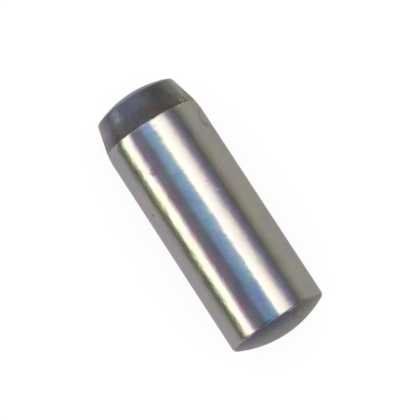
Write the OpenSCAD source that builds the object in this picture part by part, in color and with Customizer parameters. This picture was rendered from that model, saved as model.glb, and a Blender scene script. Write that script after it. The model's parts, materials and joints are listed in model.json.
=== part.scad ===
// Parallel dowel pin: a ground cylinder with a tapered, crowned lead and a crowned plain end.
// Its axis is X, with the lead towards -X, and the origin is on it, halfway along the pin's length.

/* [Shank] */
// Diameter of the ground shank
pin_d = 6; // [4:0.5:8]
// Length over both crowned ends
pin_length = 16.3; // [10:0.1:60]

/* [Lead end] */
// Length of the lead, from the shoulder to the tip
lead_length = 2.5; // [1.8:0.05:3.5]
// Slope of the lead's taper to the pin's axis, in degrees
lead_angle = 14; // [10:1:18]
// Radius that blends the shank into the taper
shoulder_r = 4; // [1:0.5:6]
// Radius around the edge between the taper and the tip's crown
tip_edge_r = 0.2; // [0.1:0.05:0.5]

/* [Crowns] */
// Spherical radius of the crown on the lead's tip
tip_crown_r = 6; // [5:0.1:12]
// Spherical radius of the crown on the plain end
plain_crown_r = 6.3; // [5:0.1:12]
// Radius around the rim of the plain end
rim_edge_r = 0.25; // [0.05:0.05:0.3]

/* [Hidden] */

shank_r = pin_d / 2;

// Points of the half section are [distance from the axis, height above the plain end].
shoulder_h = pin_length - lead_length;
taper_out = [cos(lead_angle), sin(lead_angle)];
taper_up = [-sin(lead_angle), cos(lead_angle)];

// Both crowns have their centres on the axis.
plain_crown_c = [0, plain_crown_r];
tip_crown_c = [0, pin_length - tip_crown_r];

// The rim's round touches the shank and the plain end's crown.
rim_in = shank_r - rim_edge_r;
rim_c = [rim_in, plain_crown_r - sqrt(pow(plain_crown_r - rim_edge_r, 2) - pow(rim_in, 2))];
rim_on_shank = [shank_r, rim_c[1]];
rim_on_crown = touch_point(plain_crown_c, plain_crown_r, rim_c);

// The shoulder's round touches the shank and the taper.
shoulder_c = [shank_r - shoulder_r, shoulder_h - shoulder_r * tan(lead_angle / 2)];
shoulder_on_shank = [shank_r, shoulder_c[1]];
shoulder_on_taper = shoulder_c + shoulder_r * taper_out;

// The tip's round touches the taper and the tip's crown.
tip_reach = ([shank_r, shoulder_h] - tip_crown_c) * taper_out - tip_edge_r;
tip_climb = sqrt(pow(tip_crown_r - tip_edge_r, 2) - pow(tip_reach, 2));
tip_c = tip_crown_c + tip_reach * taper_out + tip_climb * taper_up;
tip_on_taper = tip_c + tip_edge_r * taper_out;
tip_on_crown = touch_point(tip_crown_c, tip_crown_r, tip_c);

// A round is drawn this much larger, so that it crosses its neighbours and doesn't only touch them.
round_lap = 1.0005;

// Where a circle about inner_c, which touches the circle about c from inside, meets it.
function touch_point(c, r, inner_c) = c + r * (inner_c - c) / norm(inner_c - c);

// What lies outside a circle, in a box as deep as reach on the right of the line from p to q.
module outside_circle(c, r, p, q, reach) {
    along = (q - p) / norm(q - p);
    out = reach * [along[1], -along[0]];
    difference() {
        polygon([p, p + out, q + out, q]);
        translate(c)
            circle(r = r, $fn = 720);
    }
}

// Everything past a crown, which starts at the height of the crown's centre and looks along side.
module past_crown(c, r, side) {
    width = 2 * shank_r * side;
    outside_circle(c, r, c - [width, 0], c + [width, 0], 2 * r);
}

module past_round(c, r, p, q) {
    outside_circle(c, r * round_lap, p, q, r);
}

// The shank and the taper as straight lines, both run out past the crowns.
module straight_section() {
    run_out = shank_r / 2;
    polygon([
        [0, -run_out],
        [shank_r, -run_out],
        [shank_r, shoulder_h],
        [shank_r - (lead_length + run_out) * tan(lead_angle), pin_length + run_out],
        [0, pin_length + run_out]
    ]);
}

module half_section() {
    difference() {
        straight_section();
        past_crown(plain_crown_c, plain_crown_r, 1);
        past_crown(tip_crown_c, tip_crown_r, -1);
        past_round(rim_c, rim_edge_r, rim_on_crown, rim_on_shank);
        past_round(shoulder_c, shoulder_r, shoulder_on_shank, shoulder_on_taper);
        past_round(tip_c, tip_edge_r, tip_on_taper, tip_on_crown);
    }
}

module dowel_pin() {
    color("silver")
        translate([pin_length / 2, 0, 0])
            rotate([0, -90, 0])
                rotate_extrude($fn = 180)
                    half_section();
}

dowel_pin();
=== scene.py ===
import json
import math

import bpy
import numpy as np
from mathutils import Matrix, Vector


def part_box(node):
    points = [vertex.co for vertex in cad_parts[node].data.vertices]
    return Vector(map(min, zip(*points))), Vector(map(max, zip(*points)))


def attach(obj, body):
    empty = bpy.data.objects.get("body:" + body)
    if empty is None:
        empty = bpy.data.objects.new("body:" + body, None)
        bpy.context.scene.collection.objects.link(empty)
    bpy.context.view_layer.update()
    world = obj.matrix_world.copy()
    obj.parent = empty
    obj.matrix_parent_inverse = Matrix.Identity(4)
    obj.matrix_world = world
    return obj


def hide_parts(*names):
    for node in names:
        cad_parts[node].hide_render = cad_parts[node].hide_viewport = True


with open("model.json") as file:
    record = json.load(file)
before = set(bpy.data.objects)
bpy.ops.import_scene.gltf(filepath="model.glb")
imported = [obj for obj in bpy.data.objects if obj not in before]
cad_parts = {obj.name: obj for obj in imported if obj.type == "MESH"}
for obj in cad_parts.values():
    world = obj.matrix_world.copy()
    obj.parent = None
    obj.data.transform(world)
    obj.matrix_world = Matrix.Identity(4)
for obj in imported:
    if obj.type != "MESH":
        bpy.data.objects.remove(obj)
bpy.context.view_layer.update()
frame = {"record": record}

mm = 0.001
lowest, highest = (np.array(corner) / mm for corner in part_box("dowel_pin"))
shank = frame["record"]["mounts"][0]


class Wire:
    # A number or colour that flows between nodes: Python's operators add Math nodes to its tree.
    def __init__(self, sheet, socket):
        self.sheet = sheet
        self.socket = socket

    def math(self, operation, *others, clamp=False):
        sockets = {place: value for place, value in enumerate((self, *others))}
        return self.sheet.wire("ShaderNodeMath", {"operation": operation, "use_clamp": clamp}, sockets)

    def __add__(self, other):
        return self.math("ADD", other)

    def __sub__(self, other):
        return self.math("SUBTRACT", other)

    def __rsub__(self, other):
        return self.math("MULTIPLY_ADD", -1.0, other)

    def __mul__(self, other):
        return self.math("MULTIPLY", other)

    def __truediv__(self, other):
        return self.math("DIVIDE", other)

    def __pow__(self, other):
        return self.math("POWER", other)

    __radd__ = __add__
    __rmul__ = __mul__

    def size(self):
        return self.math("ABSOLUTE")

    def clamped(self):
        return self.math("ADD", 0.0, clamp=True)

    def most(self, other):
        return self.math("MAXIMUM", other)

    def rise(self, start, end):
        # 0 below start, 1 above end, smooth between
        return self.sheet.wire("ShaderNodeMapRange", {"interpolation_type": "SMOOTHSTEP"},
                               {"Value": self, "From Min": start, "From Max": end})

    def near(self, centre, reach):
        # 1 at centre, falling smoothly to 0 at reach on both sides
        return 1.0 - (self - centre).size().rise(0.0, reach)


class Sheet:
    # The nodes of one material or world.
    def __init__(self, owner):
        owner.use_nodes = True
        self.tree = owner.node_tree
        self.tree.nodes.clear()

    def node(self, kind, settings=None, sockets=None):
        made = self.tree.nodes.new(kind)
        for name, value in (settings or {}).items():
            if name == "stops":
                self.setStops(made.color_ramp, value)
            else:
                setattr(made, name, value)
        for name, value in (sockets or {}).items():
            if isinstance(value, Wire):
                self.tree.links.new(value.socket, made.inputs[name])
            else:
                made.inputs[name].default_value = value
        return made

    def wire(self, kind, settings=None, sockets=None, output=0):
        return Wire(self, self.node(kind, settings, sockets).outputs[output])

    def setStops(self, ramp, stops):
        while len(ramp.elements) > 1:
            ramp.elements.remove(ramp.elements[-1])
        for number, (place, colour) in enumerate(stops):
            stop = ramp.elements[0] if number == 0 else ramp.elements.new(place)
            stop.position = place
            stop.color = (*colour, 1.0)

    def mix(self, share, low, high, blend="MIX"):
        ends = [value if isinstance(value, Wire) else (*value, 1.0) for value in (low, high)]
        return self.wire("ShaderNodeMix", {"data_type": "RGBA", "blend_type": blend},
                         {0: share, 6: ends[0], 7: ends[1]}, output=2)

    def scaled(self, vector, number):
        return self.wire("ShaderNodeVectorMath", {"operation": "SCALE"}, {0: vector, "Scale": number})

    def place(self):
        # Object coordinates in millimetres, as one vector and as its three parts
        point = self.scaled(self.wire("ShaderNodeTexCoord", output="Object"), 1 / mm)
        split = self.node("ShaderNodeSeparateXYZ", None, {0: point})
        return point, [Wire(self, part) for part in split.outputs]

    def clouds(self, point, size, stretch=(1.0, 1.0, 1.0), shift=0.0, detail=2.0):
        # A noise texture with features of this size in millimetres
        laid = self.wire("ShaderNodeMapping", None,
                         {"Vector": point, "Location": (shift, shift, shift), "Scale": stretch})
        return self.node("ShaderNodeTexNoise", None,
                         {"Vector": laid, "Scale": 0.5 / size, "Detail": detail, "Roughness": 0.55})

    def noise(self, point, size, **laid):
        # Its strength, about zero and mostly within a quarter each way
        return Wire(self, self.clouds(point, size, **laid).outputs["Fac"]) - 0.5

    def tints(self, point, size, strength, **laid):
        # Its colours, about white, to multiply another colour with
        colours = Wire(self, self.clouds(point, size, **laid).outputs["Color"])
        low = 1.0 - strength / 2
        return self.wire("ShaderNodeVectorMath", {"operation": "MULTIPLY_ADD"},
                         {0: colours, 1: (strength,) * 3, 2: (low,) * 3})

    def ramp(self, share, stops, start, end):
        # The colours of the stops, (place, colour), as share runs from start to end
        laid = [((place - start) / (end - start), colour) for place, colour in stops]
        return self.wire("ShaderNodeValToRGB", {"stops": laid}, {0: (share - start) / (end - start)})

    def seen(self):
        # 1 for what the camera sees, by itself, in metal or through glass
        path = self.node("ShaderNodeLightPath")
        kinds = ("Is Camera Ray", "Is Glossy Ray", "Is Transmission Ray")
        rays = [Wire(self, path.outputs[kind]) for kind in kinds]
        return sum(rays[1:], rays[0]).clamped()


pin = {
    "length": float(highest[0] - lowest[0]),
    "radius": shank["dims"]["r_mm"],
    "leadLength": 2.5,
    "leadAngle": 14.0,
    "shoulderRound": 4.0,
    "tipRound": 0.2,
    "tipCrown": 6.0,
    "plainCrown": 6.3,
    "rimRound": 0.25,
    "around": 384,
}


def arc(centre, radius, start, end, count):
    # Points at radius from centre, at angles that run evenly from start to end.
    angle = np.linspace(start, end, count)
    return np.stack([centre[0] + radius * np.cos(angle), centre[1] + radius * np.sin(angle)], 1)


def line(start, end, count):
    # Points that run evenly from start to end.
    return np.linspace(start, end, count)


def pinOutline(s):
    # The half section as [along the axis, away from it], from the tip to the plain end: crown arc, round,
    # taper line, shoulder arc, shank line, rim arc and crown arc, each tangent to the next.
    tip, plain = -s["length"] / 2, s["length"] / 2
    slope = math.radians(s["leadAngle"])
    normal = np.array([-math.sin(slope), math.cos(slope)])
    along = np.array([math.cos(slope), math.sin(slope)])
    shoulder = np.array([tip + s["leadLength"], s["radius"]])

    tipCentre = np.array([tip + s["tipCrown"], 0.0])
    reach = (shoulder - tipCentre) @ normal - s["tipRound"]
    back = math.sqrt((s["tipCrown"] - s["tipRound"]) ** 2 - reach ** 2)
    tipRoundCentre = tipCentre + reach * normal - back * along
    towards = tipRoundCentre - tipCentre
    tipAngle = math.atan2(towards[1], towards[0])

    shoulderCentre = np.array([shoulder[0] + s["shoulderRound"] * math.tan(slope / 2),
                               s["radius"] - s["shoulderRound"]])

    plainCentre = np.array([plain - s["plainCrown"], 0.0])
    rimAway = s["radius"] - s["rimRound"]
    rimCentre = np.array([plainCentre[0] + math.sqrt((s["plainCrown"] - s["rimRound"]) ** 2 - rimAway ** 2),
                          rimAway])
    rimAngle = math.atan2(rimCentre[1], rimCentre[0] - plainCentre[0])

    quarter = math.pi / 2
    tipCrown = arc(tipCentre, s["tipCrown"], math.pi, tipAngle, 20)
    tipRound = arc(tipRoundCentre, s["tipRound"], tipAngle, quarter + slope, 8)
    shoulderRound = arc(shoulderCentre, s["shoulderRound"], quarter + slope, quarter, 14)
    rimRound = arc(rimCentre, s["rimRound"], quarter, rimAngle, 7)
    plainCrown = arc(plainCentre, s["plainCrown"], rimAngle, 0, 26)
    taper = line(tipRound[-1], shoulderRound[0], 12)
    shankLine = line(shoulderRound[-1], rimRound[0], 66)
    pieces = [tipCrown, tipRound, taper, shoulderRound, shankLine, rimRound, plainCrown]
    return np.concatenate([tipCrown[:1]] + [piece[1:] for piece in pieces])


def revolvedPin(s):
    # Each outline point between the two poles turns about X: (x, r cos a, r sin a), with a over a full
    # circle. The ends close in fans at the poles.
    outline = pinOutline(s)
    turn = np.linspace(0, 2 * math.pi, s["around"], endpoint=False)
    x, r = outline[1:-1, 0], outline[1:-1, 1]
    sides = (x[:, None], r[:, None] * np.cos(turn), r[:, None] * np.sin(turn))
    grid = np.stack(np.broadcast_arrays(*sides), 2)
    rings, around = grid.shape[:2]
    poles = [[outline[0, 0], 0, 0], [outline[-1, 0], 0, 0]]
    points = np.concatenate([grid.reshape(-1, 3), poles])
    here = np.arange(around)
    after = (here + 1) % around
    row = (np.arange(rings - 1) * around)[:, None]
    quads = np.stack([row + here, row + around + here, row + around + after, row + after], 2).reshape(-1, 4)
    last = (rings - 1) * around
    tip = np.stack([np.full(around, rings * around), here, after], 1)
    plain = np.stack([np.full(around, rings * around + 1), last + after, last + here], 1)
    return points, quads.tolist() + tip.tolist() + plain.tolist()


def addMesh(name, points, faces, material):
    mesh = bpy.data.meshes.new(name)
    mesh.from_pydata((points * mm).tolist(), [], faces)
    mesh.polygons.foreach_set("use_smooth", np.ones(len(mesh.polygons), bool))
    mesh.materials.append(material)
    mesh.update()
    piece = bpy.data.objects.new(name, mesh)
    bpy.context.scene.collection.objects.link(piece)
    return piece


steel = {
    "ground": (0.42, 0.405, 0.382),
    "groundRough": 0.095,
    "groundTints": 0.32,
    "oilAndReflectionTints": 0.75,                          # a trace of oil, and its share by degrees from straight up, which paints colour into the reflected bands
    "oilAndReflectionShare": [(-90.0, 0.35), (-60.0, 0.35), (-53.0, 0.7), (-46.0, 0.35), (-37.0, 0.32), (-32.0, 0.85),
             (-28.0, 1.0), (-5.0, 1.0), (0.0, 0.2), (13.0, 0.2), (22.0, 0.6), (30.0, 0.75), (40.0, 0.4),
             (90.0, 0.28)],
    "paintedViolet": (0.86, 0.78, 0.86),               # how much of each colour is left near the plain end's top: a painted violet tint of the reflected blue band
    "violetAlong": (3.5, 6.8),                  # where that begins and is full
    "violetRound": (-6.5, 8.0),                 # its middle and its reach, in degrees
    "shoulder": -5.82,                          # where grinding stops, towards the lead
    "shoulderFade": 0.02,
    "lean": 0.0145,                             # how this edge strays across the pin and up its sides
    "lift": 0.012,
    "rim": 7.435,                               # and towards the plain end
    "rimFade": 0.05,
    "rimLift": 0.03,
    "climb": 65.0,                              # the degrees by which both lifts are full
    "ragged": 0.09,
    "lead": [                                   # the lead's scale by degrees from straight up towards +Y, near the tip and beside the shoulder, with painted reflections: lighter towards the sides, bluish where strips shine
        (-180.0, (0.120, 0.115, 0.120), (0.150, 0.140, 0.145)),     # near the tip and beside the shoulder
        (-72.0, (0.155, 0.146, 0.173), (0.285, 0.241, 0.273)),
        (-61.0, (0.155, 0.151, 0.168), (0.150, 0.132, 0.152)),
        (-52.0, (0.138, 0.146, 0.174), (0.114, 0.108, 0.112)),
        (-44.5, (0.125, 0.135, 0.150), (0.067, 0.065, 0.062)),
        (-37.0, (0.108, 0.112, 0.129), (0.062, 0.053, 0.058)),
        (-29.0, (0.103, 0.101, 0.126), (0.091, 0.077, 0.087)),
        (-20.0, (0.115, 0.120, 0.152), (0.100, 0.096, 0.106)),
        (-10.0, (0.118, 0.122, 0.158), (0.095, 0.096, 0.099)),
        (0.0, (0.114, 0.115, 0.141), (0.086, 0.075, 0.081)),
        (10.0, (0.096, 0.105, 0.115), (0.086, 0.073, 0.067)),
        (20.0, (0.090, 0.096, 0.099), (0.110, 0.097, 0.085)),
        (29.0, (0.104, 0.107, 0.105), (0.128, 0.121, 0.108)),
        (37.0, (0.112, 0.121, 0.118), (0.118, 0.109, 0.098)),
        (44.5, (0.102, 0.107, 0.112), (0.100, 0.096, 0.081)),
        (52.0, (0.100, 0.104, 0.103), (0.128, 0.125, 0.108)),
        (61.0, (0.125, 0.131, 0.126), (0.310, 0.295, 0.260)),
        (180.0, (0.120, 0.115, 0.120), (0.150, 0.140, 0.145)),
    ],
    "leadSpan": (-7.2, -6.1),                   # from the first colour to the second, along the pin
    "leadTip": (0.136, 0.138, 0.165),
    "leadTipRadius": 2.3,
    "leadTipFade": 0.35,
    "scaleTints": 0.4,
    "leadSpecks": 0.55,
    "plainSpecks": 1.1,
    "plain": [                                  # the plain end's, below its rim and over its crown, with painted reflections round it
        (-180.0, (0.230, 0.210, 0.200), (0.290, 0.265, 0.255)),
        (-70.0, (0.230, 0.205, 0.220), (0.290, 0.262, 0.265)),
        (-61.0, (0.205, 0.170, 0.187), (0.250, 0.222, 0.215)),
        (-51.0, (0.180, 0.160, 0.172), (0.245, 0.222, 0.220)),
        (-41.0, (0.140, 0.142, 0.165), (0.240, 0.220, 0.205)),
        (-30.0, (0.118, 0.115, 0.130), (0.232, 0.216, 0.192)),
        (-20.0, (0.106, 0.107, 0.120), (0.225, 0.210, 0.185)),
        (-10.0, (0.118, 0.132, 0.180), (0.230, 0.216, 0.186)),
        (0.0, (0.130, 0.152, 0.195), (0.238, 0.215, 0.190)),
        (10.0, (0.135, 0.138, 0.170), (0.245, 0.222, 0.200)),
        (20.0, (0.150, 0.146, 0.170), (0.252, 0.233, 0.203)),
        (30.0, (0.160, 0.147, 0.140), (0.255, 0.235, 0.212)),
        (41.0, (0.208, 0.198, 0.178), (0.300, 0.282, 0.264)),
        (51.0, (0.240, 0.228, 0.200), (0.310, 0.295, 0.275)),
        (60.0, (0.275, 0.265, 0.235), (0.340, 0.325, 0.300)),
        (180.0, (0.230, 0.210, 0.200), (0.290, 0.265, 0.255)),
    ],
    "plainSpan": (0.1, 0.6),                    # from the first colour to the second, past the rim
    "plainMiddle": (0.270, 0.250, 0.225),
    "plainMiddleRadius": 2.2,
    "plainMiddleFade": 0.9,
    "rimReflection": [                                # a painted highlight and shade line along the rim, by degrees
        (-60.0, (0.40, 0.385, 0.37)),
        (-47.0, (0.30, 0.30, 0.25)),
        (-41.0, (0.68, 0.78, 0.73)),
        (-38.0, (0.62, 0.66, 0.72)),
        (-31.0, (0.11, 0.09, 0.14)),
        (-22.0, (0.10, 0.09, 0.11)),
        (-8.0, (0.26, 0.29, 0.47)),
        (-2.0, (0.23, 0.26, 0.33)),
        (6.0, (0.52, 0.51, 0.58)),
        (12.0, (0.63, 0.60, 0.71)),
        (16.0, (0.53, 0.53, 0.66)),
        (24.0, (0.24, 0.24, 0.31)),
        (32.0, (0.19, 0.18, 0.18)),
        (44.0, (0.31, 0.31, 0.30)),
        (55.0, (0.40, 0.385, 0.37)),
    ],
    "rimReflectionPlace": (-0.025, 0.08),             # its middle past the rim, and its reach
    "scaleRough": 0.31,
    "edgeTint": (0.75, 0.75, 0.75, 1.0),
    "waves": 0.020,                             # heights in millimetres: long waves over the whole pin
    "ripples": 0.0060,                          # shorter ones
    "rippled": (-51.0, 16.0),                   # the degrees about which these are higher, and their reach
    "rippledMore": 2.7,
    "lay": 0.0017,                              # the lines that grinding leaves round the shank
    "grain": 0.004,                             # the scale's grain
    "sizes": {                                  # of each pattern's features, in millimetres
        "cloud": 0.6,
        "fine": 0.16,
        "groundTints": 0.8,
        "oilAndReflectionTints": 0.35,
        "scaleTints": 0.3,
        "specks": 0.09,
        "waves": 1.1,
        "ripples": 0.28,
        "lay": 0.8,
        "grain": 0.12,
    },
}

marks = {
    "specks": [                                 # along, turn, reach, colour: specks, with nicks and pits drawn as painted glints and painted shade
        (-3.72, -43.4, 0.17, (0.28, 0.30, 0.27)),
        (-3.87, -49.4, 0.11, (0.21, 0.22, 0.15)),
        (-3.22, -28.6, 0.38, (0.40, 0.33, 0.35)),
        (-3.21, -32.3, 0.20, (0.245, 0.19, 0.19)),
        (-3.31, -34.6, 0.13, (0.31, 0.25, 0.25)),
        (-3.44, -30.6, 0.14, (0.29, 0.235, 0.25)),
        # A small nick: painted glints in these two, and its painted shade in the next
        (-0.49, 18.3, 0.080, (0.64, 0.62, 0.62)),
        (-0.43, 20.3, 0.085, (0.67, 0.65, 0.65)),
        (-0.28, 18.8, 0.075, (0.24, 0.23, 0.24)),
        (-1.20, 13.3, 0.090, (0.20, 0.195, 0.195)),
        (-1.41, -66.3, 0.13, (0.24, 0.23, 0.23)),
        (-1.34, -64.8, 0.11, (0.25, 0.24, 0.24)),
        (-2.16, -45.3, 0.10, (0.34, 0.34, 0.29)),
        (-3.46, -48.0, 0.22, (0.45, 0.44, 0.27)),
        (-4.05, -32.9, 0.12, (0.32, 0.29, 0.33)),
        (-2.83, -48.2, 0.09, (0.22, 0.23, 0.19)),
        (3.89, -1.5, 0.09, (0.30, 0.30, 0.26)),
        (-6.63, 54.0, 0.08, (0.07, 0.07, 0.06)),
        (-5.72, -57.9, 0.20, (0.49, 0.46, 0.46)),
        (-5.78, -10.5, 0.09, (0.54, 0.54, 0.52)),
        (-5.42, -2.2, 0.28, (0.30, 0.31, 0.30)),
        (-5.50, -44.3, 0.26, (0.58, 0.58, 0.50)),
        (-5.77, 38.0, 0.10, (0.49, 0.47, 0.42)),
        (-6.03, 45.2, 0.09, (0.42, 0.40, 0.36)),
        (-5.96, 49.5, 0.07, (0.40, 0.38, 0.34)),
        # A painted glint on the rim
        (7.32, -8.5, 0.10, (0.56, 0.51, 0.45)),
    ],
    "speckShare": 0.85,                         # how far each mark covers what is under it
    "burnsAndPaintedReflection": [                                  # along the edge of the grinding: degrees, reach, colour; heat tints, and one painted reflection of the blue light
        (-43.5, 6.5, (0.135, 0.115, 0.045)),
        (-38.8, 4.0, (0.078, 0.060, 0.020)),
        (-33.5, 5.0, (0.072, 0.050, 0.042)),
        (-23.5, 3.5, (0.060, 0.055, 0.062)),
        # Not a heat tint: a painted reflection of the blue light beside the edge
        (-15.0, 7.0, (0.115, 0.165, 0.190)),
        (8.5, 8.5, (0.082, 0.056, 0.036)),
        (1.8, 4.0, (0.040, 0.026, 0.018)),
        (46.0, 6.0, (0.150, 0.130, 0.095)),
    ],
    "burnPlace": (-0.075, 0.085),               # their middle past the shoulder, and their reach
    "paintedHighlight": (-7.05, -37.0, 0.45),               # along, turn, reach of a painted pale blue highlight on the taper
    "paintedHighlightColour": (0.17, 0.19, 0.235),
    # painted shade that dims the reflected highlight beside the shoulder: along, turn, reach
    "paintedShade": (-6.35, -33.0, 0.55),
    "paintedShadeColour": (0.062, 0.056, 0.062),
    "paintedShadeShare": 0.7,
    "ring": (-4.64, 65.0, 0.51, 0.45),          # a dried drop: along, turn, half length, half width
    "ringColour": (0.23, 0.225, 0.205),
    "ringShear": 0.5,
    "ringWidth": 0.32,                          # of its line, as a share of its size
    "ringGone": (60.0, 70.0),                   # the degrees over which the line fades out
    "smear": (-3.60, 71.0, 0.58, 0.22),         # and a smear beside it
    "smearColour": (0.225, 0.225, 0.19),
    "smearShare": 0.7,
    "scuff": (-6.03, 45.0, 0.40),
    "scuffColour": (0.42, 0.41, 0.39),
    "scuffShare": 0.4,
}


def steelMaterial(s, m):
    steelPaint = bpy.data.materials.new("ground steel with tempered ends")
    sheet = Sheet(steelPaint)
    size = s["sizes"]
    point, (along, side, up) = sheet.place()
    turn = side.math("ARCTAN2", up) * (180 / math.pi)
    acrossDegree = math.radians(1) * pin["radius"]
    cloud = sheet.noise(point, size["cloud"], detail=4.0)
    fine = sheet.noise(point, size["fine"], shift=7.0, detail=3.0)

    def spot(x, degrees, reach):
        # 1 in the middle of a round mark with an uneven edge, 0 past its reach along the surface
        across = (turn - degrees) * acrossDegree
        apart = ((along - x) ** 2.0 + across ** 2.0) ** 0.5 + fine * reach
        return 1.0 - apart.rise(0.2 * reach, reach)

    def outward(x, degrees, halfLength, halfWidth, shear=0.0):
        # 0 in the middle of an oval mark that leans by shear, 1 on its edge
        across = (turn - degrees) * acrossDegree + (along - x) * shear
        return (((along - x) / halfLength) ** 2.0 + (across / halfWidth) ** 2.0) ** 0.5

    # How far each place belongs to the dark lead or the dark plain end, with a ragged edge between
    ragged = along + fine * s["ragged"]
    climb = (turn.size() / s["climb"]).clamped() ** 2.0
    pastShoulder = ragged - side * s["lean"] + climb * s["lift"] - s["shoulder"]
    pastRim = ragged + climb * s["rimLift"] - s["rim"]
    lead = 1.0 - pastShoulder.rise(-s["shoulderFade"], s["shoulderFade"])
    plain = pastRim.rise(-s["rimFade"], s["rimFade"])
    dark = lead.most(plain)
    away = (side ** 2.0 + up ** 2.0) ** 0.5

    # The shank: ground bright, with faint drifts of tint, and stronger ones where a film of oil dried,
    # whose share by degrees round the pin paints colour into the reflected bands
    drift = sheet.tints(point, size["groundTints"], s["groundTints"], detail=3.0)
    colour = sheet.mix(1.0, s["ground"], drift, blend="MULTIPLY")
    # A painted reflection: the reflected blue band turns violet near the plain end's top
    paintedViolet = along.rise(*s["violetAlong"]) * turn.near(*s["violetRound"])
    colour = sheet.mix(paintedViolet, colour, s["paintedViolet"], blend="MULTIPLY")
    # Painted reflection colour: the oil tints are strongest where the coloured bands reflect
    oilAndReflectionShare = sheet.ramp(turn, [(place, (share,) * 3) for place, share in s["oilAndReflectionShare"]], -90.0, 90.0)
    oil = sheet.tints(point, size["oilAndReflectionTints"], s["oilAndReflectionTints"], shift=19.0, detail=4.0)
    colour = sheet.mix(oilAndReflectionShare, colour, oil, blend="MULTIPLY")

    def scaleRound(stops, share):
        # The two colours of each stop, mixed by share, as the place goes round the pin
        around = turn + cloud * 30.0
        first = sheet.ramp(around, [(place, colour) for place, colour, _ in stops], -180.0, 180.0)
        second = sheet.ramp(around, [(place, colour) for place, _, colour in stops], -180.0, 180.0)
        return sheet.mix(share, first, second)

    # The lead's scale, with painted reflections round it, changes round the taper, and from the tip to the
    # shoulder
    scale = scaleRound(s["lead"], (along + cloud * 0.6).rise(*s["leadSpan"]))
    tip = (s["leadTipRadius"] - away + cloud * 0.3).rise(0.0, s["leadTipFade"])
    scale = sheet.mix(tip, scale, s["leadTip"])
    # A painted pale blue highlight on the taper, and painted shade that dims the reflection beside the
    # shoulder
    scale = sheet.mix(spot(*m["paintedHighlight"]) * (fine * 5.0 + 0.4).clamped(), scale, m["paintedHighlightColour"])
    scale = sheet.mix(spot(*m["paintedShade"]) * m["paintedShadeShare"], scale, m["paintedShadeColour"])
    colour = sheet.mix(lead, colour, scale)

    # The plain end: darker below the rim, lighter over its crown, with painted reflections round it, and a
    # painted highlight and shade line along the rim
    scale = scaleRound(s["plain"], (pastRim + cloud * 0.25).rise(*s["plainSpan"]))
    middle = (s["plainMiddleRadius"] - away + cloud * 0.5).rise(0.0, s["plainMiddleFade"])
    scale = sheet.mix(middle, scale, s["plainMiddle"])
    colour = sheet.mix(plain, colour, scale)
    # A painted reflection of the bands in the rim's round, drawn as a fine line
    rimReflection = (pastRim + fine * 0.06).near(*s["rimReflectionPlace"])
    colour = sheet.mix(rimReflection, colour, sheet.ramp(turn, s["rimReflection"], -90.0, 90.0))

    # Both ends are mottled and speckled
    mottle = sheet.tints(point, size["scaleTints"], s["scaleTints"], shift=13.0, detail=5.0)
    specks = plain * (s["plainSpecks"] - s["leadSpecks"]) + s["leadSpecks"]
    mottle = sheet.scaled(mottle, sheet.noise(point, size["specks"], shift=17.0, detail=3.0) * specks + 1.0)
    colour = sheet.mix(dark, colour, mottle, blend="MULTIPLY")

    # Marks, among them painted glints, painted shade and a painted reflection
    edge = (pastShoulder + fine * 0.1).near(*m["burnPlace"])
    for degrees, reach, paint in m["burnsAndPaintedReflection"]:
        colour = sheet.mix(edge * (turn + fine * 8.0).near(degrees, reach), colour, paint)
    for x, degrees, reach, paint in m["specks"]:
        colour = sheet.mix(spot(x, degrees, reach) * m["speckShare"], colour, paint)
    ring = (outward(*m["ring"], shear=m["ringShear"]) + fine * 0.4).near(1.0, m["ringWidth"])
    ring = ring * (1.0 - turn.rise(*m["ringGone"]))
    colour = sheet.mix(ring * (0.85 + fine * 1.6).clamped(), colour, m["ringColour"])
    smear = 1.0 - (outward(*m["smear"]) + fine * 1.6).rise(0.4, 1.0)
    colour = sheet.mix(smear * m["smearShare"], colour, m["smearColour"])
    scuff = spot(*m["scuff"]) * (1.0 - (fine + cloud).size().rise(0.0, 0.04))
    colour = sheet.mix(scuff * m["scuffShare"], colour, m["scuffColour"])

    # Scale is rougher than ground metal, and the ring's line is a little rougher than what is under it
    rough = dark * (s["scaleRough"] - s["groundRough"]) + s["groundRough"] + cloud * 0.03 + ring * 0.1

    # Fine relief, with waves and ripples a little longer along the pin
    longer = (0.8, 1.0, 1.0)
    waves = sheet.noise(point, size["waves"], stretch=longer, shift=11.0, detail=3.0) * s["waves"]
    ripples = sheet.noise(point, size["ripples"], stretch=longer, shift=3.0) * s["ripples"]
    ripples = ripples * (turn.near(*s["rippled"]) * s["rippledMore"] + 1.0)
    lay = sheet.noise(point, size["lay"], stretch=(16.0, 1.0, 1.0), shift=5.0, detail=3.0) * s["lay"]
    grain = sheet.noise(point, size["grain"], shift=9.0, detail=3.0) * s["grain"]
    height = waves + ripples + lay * (1.0 - dark) + grain * dark
    bump = sheet.wire("ShaderNodeBump", None, {"Strength": 1.0, "Distance": mm, "Height": height})

    shader = sheet.wire("ShaderNodeBsdfPrincipled", None,
                        {"Base Color": colour, "Roughness": rough, "Metallic": 1.0, "Normal": bump,
                         "Specular Tint": s["edgeTint"]})
    sheet.node("ShaderNodeOutputMaterial", None, {"Surface": shader})
    return steelPaint


dowelPin = addMesh("dowel_pin_ground", *revolvedPin(pin), steelMaterial(steel, marks))
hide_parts("dowel_pin")
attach(dowelPin, "root")
print("pin:", len(dowelPin.data.polygons), "faces")


floorLook = {
    "width": 1200.0,
    "colour": 0.20,
    "lift": 0.84,
}


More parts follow.
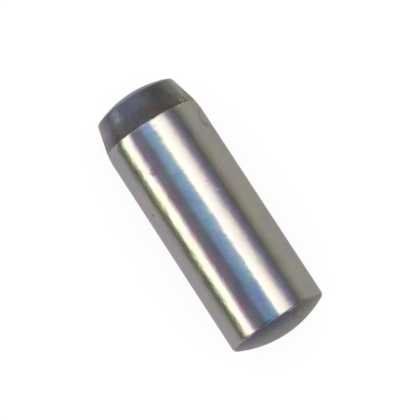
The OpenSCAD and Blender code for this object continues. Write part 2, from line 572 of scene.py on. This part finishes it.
def floorMaterial(s):
    # White by itself; what shades it takes away up to its own colour.
    floorPaint = bpy.data.materials.new("pale floor")
    sheet = Sheet(floorPaint)
    grey = (s["colour"],) * 3 + (1.0,)
    paper = sheet.wire("ShaderNodeBsdfDiffuse", None, {"Color": grey})
    lift = sheet.wire("ShaderNodeEmission", None, {"Strength": sheet.seen() * s["lift"]})
    both = sheet.wire("ShaderNodeAddShader", None, {0: paper, 1: lift})
    sheet.node("ShaderNodeOutputMaterial", None, {"Surface": both})
    return floorPaint


def flat(corners, height):
    # One level face with these corners, (x, y), at this height.
    points = np.array([[x, y, height] for x, y in corners])
    return points, [list(range(len(corners)))]


def addFloor(s):
    half = s["width"] / 2
    corners = [(-half, -half), (half, -half), (half, half), (-half, half)]
    floor = addMesh("floor", *flat(corners, -pin["radius"]), floorMaterial(s))


# A painted tent arches over the pin, and three painted cards lie just over the floor. Only metal shows
# them. The tent has three parts along X: the wing from west to split, the main part from split to end, and
# the back from end to east. Its stops are (degrees from straight up towards +Y, colour, glow), and the
# cards' are (place along Y in millimetres, colour, glow).
tent = {
    "radius": 150.0,
    "west": -260.0,
    "split": -79.0,
    "end": 80.0,
    "east": 600.0,
    "points": 75,                               # round each part
    "slantSpan": (-40.0, -2.0),                 # the stops slant between these places along X
    "topSlant": 13.0,                           # by this many degrees about the top
    "topRound": (-2.0, 18.0),                   # its middle and reach, in degrees
    "sideSlant": 3.0,                           # and the other way on one side
    "sideRound": (-58.0, 12.0),
    "dim": 0.28,                                # the share of the glow that is lost
    "dimSpan": (-36.0, -6.0),
    "dimRound": (-25.0, 38.0),
    "main": [
        (-93.0, (0.94, 1.0, 0.74), 0.34),
        (-86.0, (0.92, 1.0, 0.75), 0.72),
        (-79.0, (0.96, 1.0, 0.82), 2.34),
        (-73.0, (1.0, 0.985, 0.85), 2.62),
        (-64.0, (1.0, 0.95, 0.935), 2.42),
        (-58.5, (0.98, 0.84, 0.94), 1.3),
        (-52.0, (0.93, 0.75, 1.0), 0.52),
        (-40.0, (0.78, 0.75, 1.0), 0.46),
        (-31.0, (0.64, 0.78, 1.0), 0.50),
        (-20.5, (0.41, 0.66, 1.0), 1.10),
        (-8.0, (0.38, 0.61, 1.0), 1.44),
        (1.0, (0.70, 0.89, 1.0), 1.2),
        (6.6, (1.0, 0.99, 0.96), 2.6),
        (13.0, (1.0, 0.965, 0.925), 2.52),
        (21.0, (1.0, 0.955, 0.93), 2.34),
        (29.0, (1.0, 0.94, 0.91), 1.92),
        (36.0, (0.98, 0.89, 1.0), 1.15),
        (42.0, (0.83, 0.755, 1.0), 0.70),
        (50.0, (0.72, 0.72, 1.0), 0.455),
        (60.0, (0.93, 0.95, 1.0), 0.25),
        (70.0, (1.0, 1.0, 0.85), 0.42),
        (82.0, (1.0, 0.97, 0.86), 0.62),
        (93.0, (1.0, 0.96, 0.87), 0.66),
    ],
    "wing": [
        (-93.0, (0.90, 1.0, 0.80), 0.40),
        (-87.0, (1.0, 1.0, 1.0), 0.8),
        (-82.0, (0.95, 0.97, 1.0), 2.2),
        (-64.0, (0.95, 0.97, 1.0), 2.2),
        (-57.0, (1.0, 1.0, 1.0), 0.9),
        (15.0, (1.0, 1.0, 1.0), 0.9),
        (50.0, (1.0, 1.0, 1.0), 0.6),
        (70.0, (1.0, 1.0, 1.0), 0.7),
        (93.0, (1.0, 0.98, 0.92), 0.85),
    ],
    "back": [
        (-93.0, (0.95, 0.97, 1.0), 0.9),
        (-84.0, (0.95, 0.97, 1.0), 1.4),
        (-79.0, (0.95, 0.97, 1.0), 2.1),
        (-70.0, (0.95, 0.97, 1.0), 2.1),
        (-62.0, (0.92, 0.90, 1.0), 0.6),
        (-52.0, (0.90, 0.86, 1.0), 0.34),
        (-35.0, (0.78, 0.84, 1.0), 0.38),
        (-15.0, (0.60, 0.72, 1.0), 0.85),
        (0.0, (0.66, 0.78, 1.0), 0.85),
        (8.0, (0.85, 0.92, 1.0), 1.4),
        (15.0, (0.95, 0.98, 1.0), 2.2),
        (40.0, (0.95, 0.95, 1.0), 1.9),
        (50.0, (0.92, 0.91, 1.0), 0.40),
        (62.0, (0.90, 0.90, 1.0), 0.26),
        (82.0, (0.98, 0.97, 1.0), 0.27),
        (93.0, (1.0, 0.98, 0.95), 0.58),
    ],
}

floorCard = {
    "corners": [(-260.0, -150.0), (260.0, -150.0), (260.0, 150.0), (-260.0, 150.0)],
    "lift": 0.05,
    "stops": [
        (-150.0, (0.92, 1.0, 0.65), 0.23),
        (-28.0, (0.94, 1.0, 0.76), 0.35),
        (-17.0, (1.0, 0.97, 1.0), 0.60),
        (-9.0, (0.93, 0.90, 1.0), 0.80),
        (-2.0, (0.93, 0.90, 1.0), 0.80),
        (4.0, (1.0, 0.98, 0.93), 0.66),
        (30.0, (1.0, 0.99, 0.90), 0.66),
        (150.0, (1.0, 0.98, 0.88), 0.66),
    ],
}

leadCard = {
    "corners": [(-60.0, -22.0), (-14.2, -22.0), (-7.4, -3.0), (-16.0, -2.5), (-16.0, 2.5), (-7.4, 3.0),
                (-20.5, 40.0), (-60.0, 40.0)],
    "lift": 0.10,
    "stops": [
        (-22.0, (0.95, 0.92, 0.90), 0.6),
        (-12.0, (1.0, 0.94, 1.0), 1.3),
        (-2.0, (1.0, 0.94, 1.0), 1.4),
        (4.0, (1.0, 0.98, 0.92), 1.6),
        (40.0, (1.0, 0.98, 0.90), 1.5),
    ],
}

tipCard = {
    "corners": [(-16.0, -2.5), (-8.4, -2.5), (-8.4, 2.5), (-16.0, 2.5)],
    "lift": 0.10,
    "stops": [
        (-2.5, (0.84, 0.82, 1.0), 1.10),
        (-1.1, (0.72, 0.74, 1.0), 1.25),
        (-0.2, (0.80, 0.82, 1.0), 1.18),
        (0.8, (0.82, 0.85, 1.0), 1.12),
        (1.4, (0.76, 0.80, 1.0), 1.15),
        (2.5, (0.82, 0.87, 1.0), 1.05),
    ],
}


def degreesRound(part):
    # From straight up towards +Y, with the stops at the top and on one side slanted along the tent
    turn = part[1].math("ARCTAN2", part[2]) * (180 / math.pi)
    top = turn.near(*tent["topRound"]) * tent["topSlant"]
    slant = top - turn.near(*tent["sideRound"]) * tent["sideSlant"]
    return turn - (part[0].rise(*tent["slantSpan"]) - 0.5) * slant


def dimmer(part):
    # The top of the tent glows less towards the plain end
    turn = part[1].math("ARCTAN2", part[2]) * (180 / math.pi)
    return part[0].rise(*tent["dimSpan"]) * turn.near(*tent["dimRound"]) * tent["dim"]


def paintedMaterial(name, stops, measure, dimmed=None):
    # A glow whose colour runs through the stops as the measured number grows
    glowPaint = bpy.data.materials.new(name)
    sheet = Sheet(glowPaint)
    top = max(glow for _, _, glow in stops)
    colours = [(place, [part * glow / top for part in colour]) for place, colour, glow in stops]
    paint = sheet.ramp(measure(sheet.place()[1]), colours, stops[0][0], stops[-1][0])
    strength = (1.0 - dimmed(sheet.place()[1])) * top if dimmed else top
    light = sheet.wire("ShaderNodeEmission", None, {"Color": paint, "Strength": strength})
    sheet.node("ShaderNodeOutputMaterial", None, {"Surface": light})
    return glowPaint


def onlyInMetal(thing):
    # The pin's metal shows it; the camera and the floor don't see it.
    thing.visible_camera = False
    thing.visible_diffuse = False
    thing.visible_transmission = False
    thing.visible_shadow = False


def addTentPart(name, s, west, east, stops):
    # Part of a pipe about X: (x, R sin a, R cos a), with a between the outermost stops.
    first, last = stops[0][0], stops[-1][0]
    turn = np.radians(np.linspace(first, last, s["points"]))
    edges = np.array([west, east])
    sides = (edges[:, None], s["radius"] * np.sin(turn), s["radius"] * np.cos(turn))
    grid = np.stack(np.broadcast_arrays(*sides), 2)
    here = np.arange(len(turn) - 1)
    faces = np.stack([here, here + 1, here + 1 + len(turn), here + len(turn)], 1)
    onlyInMetal(addMesh(name, grid.reshape(-1, 3), faces.tolist(),
                        paintedMaterial(name, stops, degreesRound, dimmer)))


def addCard(name, s):
    # The card lies just over the floor, and its stops run along Y.
    paint = paintedMaterial(name, s["stops"], lambda part: part[1])
    onlyInMetal(addMesh(name, *flat(s["corners"], s["lift"] - pin["radius"]), paint))


view = {
    "azimuth": 57.27,
    "elevation": 80.24,
    "distance": 270.0,
    "lens": 408.6,
    "aimRight": 0.147,
    "aimUp": 0.226,
    "clip": (0.01, 5.0),                        # in metres
}


def addCamera(s):
    # It stands at distance along back, looks along -back, and is moved sideways and up by the aim.
    turn, lift = math.radians(s["azimuth"]), math.radians(s["elevation"])
    back = np.array([math.sin(turn) * math.cos(lift), -math.cos(turn) * math.cos(lift), math.sin(lift)])
    right = np.array([math.cos(turn), math.sin(turn), 0.0])
    up = np.cross(back, right)
    lens = bpy.data.cameras.new("camera")
    lens.lens = s["lens"]
    lens.clip_start, lens.clip_end = s["clip"]
    camera = bpy.data.objects.new("camera", lens)
    camera.location = (back * s["distance"] + right * s["aimRight"] + up * s["aimUp"]) * mm
    camera.rotation_euler = (math.pi / 2 - lift, 0.0, turn)
    bpy.context.scene.collection.objects.link(camera)
    bpy.context.scene.camera = camera


def setWorld():
    world = bpy.data.worlds.new("studio")
    bpy.context.scene.world = world
    sheet = Sheet(world)
    air = sheet.wire("ShaderNodeBackground", None, {"Color": (1.0, 1.0, 1.0, 1.0), "Strength": 1.0})
    sheet.node("ShaderNodeOutputWorld", None, {"Surface": air})


addFloor(floorLook)
addTentPart("tent_main", tent, tent["split"], tent["end"], tent["main"])
addTentPart("tent_back", tent, tent["end"], tent["east"], tent["back"])
addTentPart("tent_wing", tent, tent["west"], tent["split"], tent["wing"])
addCard("floor_card", floorCard)
addCard("lead_card", leadCard)
addCard("tip_card", tipCard)
addCamera(view)
setWorld()
bpy.context.scene.view_settings.view_transform = "Standard"
print("studio: floor, tent, cards and camera")
